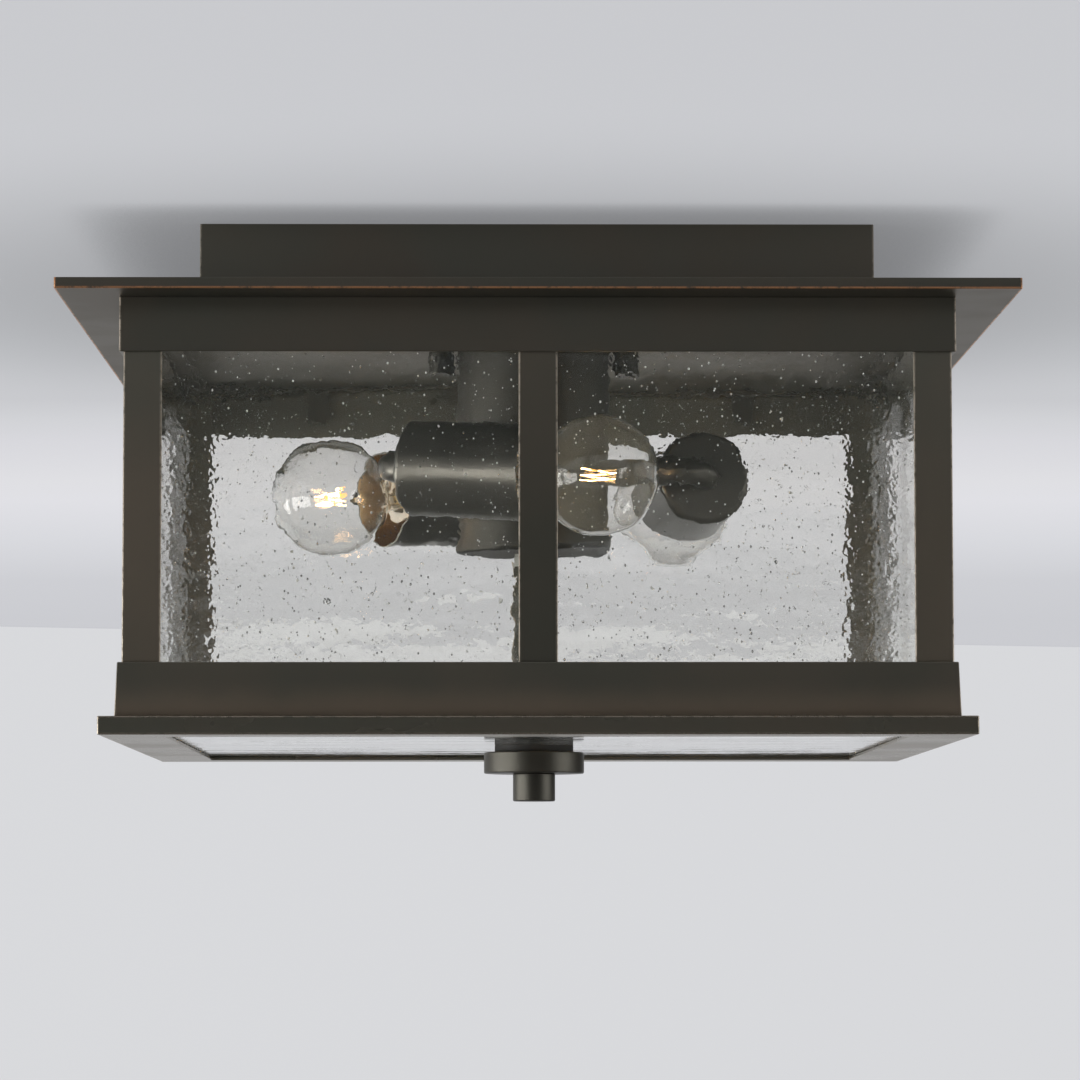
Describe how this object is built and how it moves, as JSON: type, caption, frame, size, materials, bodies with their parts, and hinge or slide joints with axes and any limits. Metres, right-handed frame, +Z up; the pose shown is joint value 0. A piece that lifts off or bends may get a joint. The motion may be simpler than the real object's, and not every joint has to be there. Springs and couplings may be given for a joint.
{
  "type": "porch ceiling lantern",
  "caption": "Square flush-mount ceiling lantern: pan canopy, wide roof plate, glazed cage, cups with globe bulbs round a hub, and a glazed bottom tray held up by a centre finial.",
  "frame": {"origin": "on the ceiling plane, over the centre of the lantern, midway between the two box-screw slots of the ceiling bracket", "axes": "+Z up into the ceiling, +X to the right and +Y away from someone who faces the front"},
  "size_m": [0.381, 0.381, 0.231],
  "materials": {
    "bronze_paint": "satin dark bronze",
    "seeded_glass": "clear, seeded",
    "bulb_glass": "clear",
    "filament": "glowing wire",
    "brass": "bright",
    "zinc": "zinc plated",
    "ground_green": "green dyed",
    "phenolic": "moulded",
    "rubber": "matte"
  },
  "bodies": {
    "cage": {"ceiling_bracket": "zinc", "mounting_studs": "zinc", "stud_nuts": "zinc", "thumb_nuts": "bronze_paint", "ground_screw": "ground_green", "canopy": "bronze_paint", "roof_plate": "bronze_paint", "hub_drum": "bronze_paint", "hub_cap": "bronze_paint", "centre_rod": "bronze_paint", "rod_top_nut": "zinc", "hub_nut": "bronze_paint", "top_rail": "bronze_paint", "bottom_rail": "bronze_paint", "pane_clips": "zinc", "corner_post_front_left": "bronze_paint", "corner_post_front_right": "bronze_paint", "corner_post_back_right": "bronze_paint", "corner_post_back_left": "bronze_paint", "mullion_front": "bronze_paint", "mullion_right": "bronze_paint", "mullion_back": "bronze_paint", "mullion_left": "bronze_paint", "side_pane_front": "seeded_glass", "side_pane_right": "seeded_glass", "side_pane_back": "seeded_glass", "side_pane_left": "seeded_glass", "arm_nuts": "zinc", "cup_nuts": "zinc", "screw_shells": "brass", "socket_contacts": "brass", "arm_1": "bronze_paint", "socket_cup_1": "bronze_paint", "socket_holder_1": "phenolic", "arm_2": "bronze_paint", "socket_cup_2": "bronze_paint", "socket_holder_2": "phenolic", "arm_3": "bronze_paint", "socket_cup_3": "bronze_paint", "socket_holder_3": "phenolic"},
    "bottom_tray": {"tray_frame": "bronze_paint", "bottom_glass": "seeded_glass", "tray_seal": "rubber", "glass_clips": "zinc", "finial_gasket": "rubber"},
    "finial_washer": {"finial_washer": "bronze_paint"},
    "finial_knob": {"finial_knob": "bronze_paint"},
    "bulb_1_base": {"bulb_1_base": "brass"},
    "bulb_1": {"bulb_1_globe": "bulb_glass", "bulb_1_stem": "bulb_glass", "bulb_1_filament": "filament"},
    "bulb_2_base": {"bulb_2_base": "brass"},
    "bulb_2": {"bulb_2_globe": "bulb_glass", "bulb_2_stem": "bulb_glass", "bulb_2_filament": "filament"},
    "bulb_3_base": {"bulb_3_base": "brass"},
    "bulb_3": {"bulb_3_globe": "bulb_glass", "bulb_3_stem": "bulb_glass", "bulb_3_filament": "filament"}
  },
  "joints": [
    {"name": "tray_drop", "type": "slide", "parent": "cage", "child": "bottom_tray", "axis": [0, 0, -1], "range_m": [0, 0.06]},
    {"name": "finial_travel", "type": "slide", "parent": "bottom_tray", "child": "finial_washer", "axis": [0, 0, -1], "range_m": [0, 0.0091]},
    {"name": "finial_turn", "type": "hinge", "parent": "finial_washer", "child": "finial_knob", "pos_m": [0, 0, -0.219], "axis": [0, 0, -1], "range_deg": [0, 3240]},
    {"name": "bulb_1_travel", "type": "slide", "parent": "cage", "child": "bulb_1_base", "axis": [0.9183, -0.3898, -0.0698], "range_m": [0, 0.0077]},
    {"name": "bulb_1_turn", "type": "hinge", "parent": "bulb_1_base", "child": "bulb_1", "pos_m": [-0.00978, -0.07276, -0.09508], "axis": [0.9183, -0.3898, -0.0698], "range_deg": [0, 1080]},
    {"name": "bulb_2_travel", "type": "slide", "parent": "cage", "child": "bulb_2_base", "axis": [-0.1216, 0.9901, -0.0698], "range_m": [0, 0.0077]},
    {"name": "bulb_2_turn", "type": "hinge", "parent": "bulb_2_base", "child": "bulb_2", "pos_m": [0.0679, 0.02791, -0.09508], "axis": [-0.1216, 0.9901, -0.0698], "range_deg": [0, 1080]},
    {"name": "bulb_3_travel", "type": "slide", "parent": "cage", "child": "bulb_3_base", "axis": [-0.7967, -0.6003, -0.0698], "range_m": [0, 0.0077]},
    {"name": "bulb_3_turn", "type": "hinge", "parent": "bulb_3_base", "child": "bulb_3", "pos_m": [-0.05813, 0.04485, -0.09508], "axis": [-0.7967, -0.6003, -0.0698], "range_deg": [0, 1080]}
  ],
  "couplings": [
    {"joint": "finial_travel", "follows": "finial_turn", "m_per_rad": 0.00015915},
    {"joint": "bulb_1_travel", "follows": "bulb_1_turn", "m_per_rad": 0.00040425},
    {"joint": "bulb_2_travel", "follows": "bulb_2_turn", "m_per_rad": 0.00040425},
    {"joint": "bulb_3_travel", "follows": "bulb_3_turn", "m_per_rad": 0.00040425}
  ]
}
